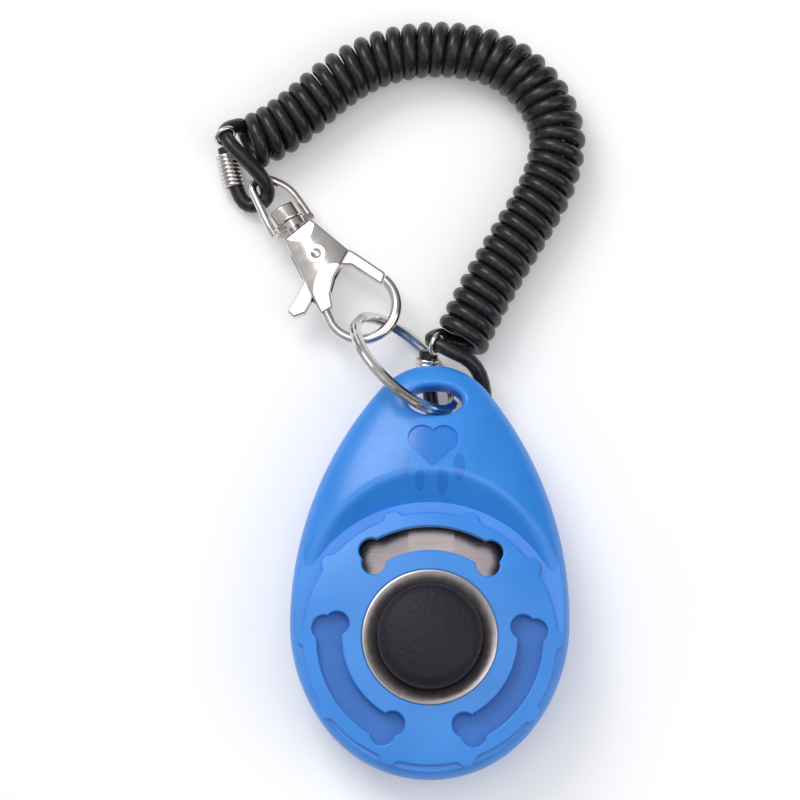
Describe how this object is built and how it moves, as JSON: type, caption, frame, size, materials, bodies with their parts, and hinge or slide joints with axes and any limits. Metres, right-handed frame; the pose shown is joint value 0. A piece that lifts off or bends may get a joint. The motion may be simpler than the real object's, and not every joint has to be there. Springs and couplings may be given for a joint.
{
  "type": "dog training clicker",
  "caption": "Egg-shaped hand clicker with a push button over a metal click plate, on a split ring, with a coiled wrist cord and a swivel snap hook.",
  "frame": {"origin": "middle of the flat on the back of the casing, under the button axis", "axes": "+Z out of the button, +Y towards the ring hole, +X to the right as seen from above the button"},
  "size_m": [0.0604, 0.1241, 0.0196],
  "materials": {
    "casing": "glossy moulded blue ABS",
    "click_metal": "brushed, crowned metal plate",
    "chrome": "bright chrome-plated bezel",
    "button": "black with a leather-grain top",
    "spring_steel": "rolled spring steel",
    "ring_steel": "nickel-plated split ring wire",
    "nickel": "polished nickel-plated zinc",
    "clamp_wire": "bright wound wire",
    "cord": "glossy black urethane cord"
  },
  "bodies": {
    "clicker": {"front_shell": "casing", "back_shell": "casing", "face_plate": "casing", "bezel_ring": "chrome"},
    "button": {"click_button": "button"},
    "click_plate": {"click_spring": "click_metal"},
    "ring": {"split_ring": "ring_steel"},
    "strap": {"coil_cord": "cord", "upper_cord_loop": "cord", "lower_cord_loop": "cord", "upper_clamp": "clamp_wire", "lower_clamp": "clamp_wire", "swivel_loop": "nickel"},
    "hook": {"snap_hook": "nickel", "swivel_post": "nickel", "trigger_pin": "nickel", "trigger_spring": "spring_steel"},
    "trigger": {"trigger_lever": "nickel"}
  },
  "joints": [
    {"name": "button_press", "type": "slide", "parent": "clicker", "child": "button", "axis": [0, 0, -1], "range_m": [0, 0.0013], "stiffness_N_per_m": 1500},
    {"name": "plate_flex", "type": "hinge", "parent": "clicker", "child": "click_plate", "pos_m": [0, 0.0212, 0.00975], "axis": [1, 0, 0], "range_deg": [0, 4.5]},
    {"name": "ring_spin", "type": "hinge", "parent": "clicker", "child": "ring", "pos_m": [-0.00468, 0.04436, 0.00972], "axis": [0.6201, 0.6101, 0.4931], "continuous": true},
    {"name": "strap_swing", "type": "hinge", "parent": "clicker", "child": "strap", "pos_m": [-0.01062, 0.05173, 0.00657], "axis": [0.7433, -0.6579, -0.1212], "range_deg": [0, 6]},
    {"name": "hook_swivel", "type": "hinge", "parent": "strap", "child": "hook", "pos_m": [-0.0231, 0.06753, 0.00445], "axis": [0.5507, -0.8321, 0.0663], "range_deg": [0, 20]},
    {"name": "trigger_open", "type": "hinge", "parent": "hook", "child": "trigger", "pos_m": [-0.0191, 0.0624, 0.00488], "axis": [0.0366, -0.0553, -0.9978], "range_deg": [0, 25], "stiffness_Nm_per_rad": 0.02, "springref_deg": -11.46}
  ],
  "couplings": [
    {"joint": "plate_flex", "follows": "button_press", "rad_per_m": 60}
  ]
}
